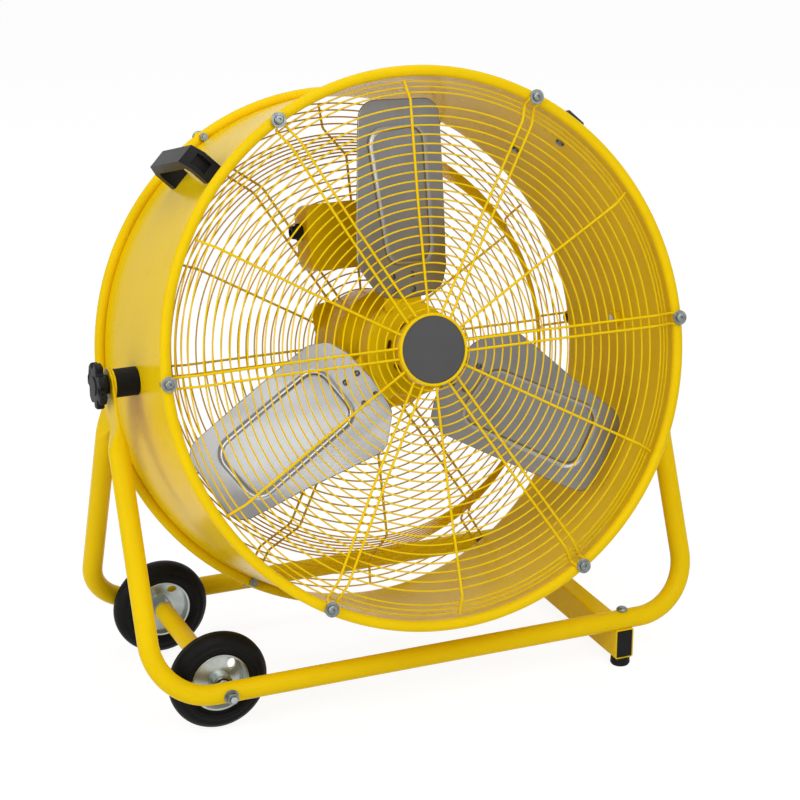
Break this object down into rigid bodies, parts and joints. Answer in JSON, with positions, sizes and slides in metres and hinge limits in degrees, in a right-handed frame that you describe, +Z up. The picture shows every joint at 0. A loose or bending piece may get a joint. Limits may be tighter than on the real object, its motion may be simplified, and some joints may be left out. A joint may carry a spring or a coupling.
{
  "type": "drum fan",
  "caption": "Portable drum fan: round steel drum with wire guards that tilts on a tube stand with transport wheels and a footed crossbar.",
  "frame": {"origin": "on the floor, midway under the two tilt pivots", "axes": "+Z up, -Y the side the fan blows to, +X towards the crossbar with the rubber feet, -X towards the wheels; the tilt axis is parallel to X"},
  "size_m": [0.7462, 0.4628, 0.7651],
  "materials": {
    "yellow_paint": "gloss powder coat",
    "bright_zinc": "bright zinc plate",
    "satin_aluminium": "satin",
    "black_plastic": "moulded, satin",
    "black_rubber": "matte",
    "wheel_tyre": "matte",
    "plain_steel": "ground",
    "lamination_steel": "laminated",
    "winding_copper": "varnished copper wire",
    "grey_disc_paint": "satin grey",
    "capacitor_plastic": "moulded"
  },
  "bodies": {
    "stand": {"front_stand_tube": "yellow_paint", "rear_stand_tube": "yellow_paint", "crossbar": "yellow_paint", "crossbar_end_caps": "black_plastic", "rubber_feet": "black_rubber", "crossbar_bolts": "bright_zinc", "axle_tube": "yellow_paint", "axle_tube_plugs": "plain_steel", "axle_rod": "bright_zinc", "axle_washers": "bright_zinc", "axle_nuts": "bright_zinc", "wheel_collars": "bright_zinc"},
    "drum": {"drum_shell": "yellow_paint", "front_guard": "yellow_paint", "guard_centre_cup": "yellow_paint", "guard_centre_disc": "grey_disc_paint", "rear_guard": "yellow_paint", "guard_bolts": "bright_zinc", "guard_washers": "bright_zinc", "guard_nuts": "bright_zinc", "motor_mount_plate": "yellow_paint", "motor_mount_bolts": "bright_zinc", "motor_housing": "yellow_paint", "motor_front_bell": "yellow_paint", "motor_rear_bell": "yellow_paint", "rear_bearing": "plain_steel", "front_bearing": "plain_steel", "stator_core": "lamination_steel", "stator_windings": "winding_copper", "control_box": "yellow_paint", "control_box_cover": "yellow_paint", "speed_switch": "black_plastic", "run_capacitor": "capacitor_plastic", "cable_gland": "black_plastic", "left_handle": "black_plastic", "right_handle": "black_plastic", "handle_screws": "plain_steel", "left_pivot_spacer": "black_rubber", "right_pivot_spacer": "black_rubber", "pivot_nuts": "yellow_paint"},
    "rotor": {"rotor_core": "lamination_steel", "rotor_shaft": "plain_steel", "fan_hub": "yellow_paint", "fan_blade_1": "satin_aluminium", "fan_blade_2": "satin_aluminium", "fan_blade_3": "satin_aluminium", "blade_rivets": "bright_zinc", "hub_nut": "bright_zinc"},
    "front_wheel": {"front_wheel_tyre": "wheel_tyre", "front_wheel_rim": "bright_zinc", "front_wheel_bush": "black_plastic"},
    "rear_wheel": {"rear_wheel_tyre": "wheel_tyre", "rear_wheel_rim": "bright_zinc", "rear_wheel_bush": "black_plastic"},
    "left_knob": {"left_clamp_knob": "black_plastic", "left_clamp_stud": "bright_zinc"},
    "right_knob": {"right_clamp_knob": "black_plastic", "right_clamp_stud": "bright_zinc"},
    "speed_dial": {"speed_dial": "black_plastic"}
  },
  "joints": [
    {"name": "drum_tilt", "type": "hinge", "parent": "stand", "child": "drum", "pos_m": [0, 0, 0.408], "axis": [1, 0, 0], "range_deg": [-106, 74]},
    {"name": "fan_spin", "type": "hinge", "parent": "drum", "child": "rotor", "pos_m": [0, 0, 0.408], "axis": [0, -0.9613, 0.2756], "continuous": true},
    {"name": "front_wheel_roll", "type": "hinge", "parent": "stand", "child": "front_wheel", "pos_m": [-0.2665, -0.113, 0.061], "axis": [0, 1, 0], "continuous": true},
    {"name": "rear_wheel_roll", "type": "hinge", "parent": "stand", "child": "rear_wheel", "pos_m": [-0.2665, 0.113, 0.061], "axis": [0, 1, 0], "continuous": true},
    {"name": "left_knob_turn", "type": "hinge", "parent": "drum", "child": "left_knob", "pos_m": [-0.3623, 0, 0.408], "axis": [-1, 0, 0], "range_deg": [0, 360]},
    {"name": "right_knob_turn", "type": "hinge", "parent": "drum", "child": "right_knob", "pos_m": [0.3623, 0, 0.408], "axis": [1, 0, 0], "range_deg": [0, 360]},
    {"name": "speed_dial_turn", "type": "hinge", "parent": "drum", "child": "speed_dial", "pos_m": [-0.03959, 0.04072, 0.55002], "axis": [0, 0.9613, -0.2756], "range_deg": [0, 270]}
  ]
}
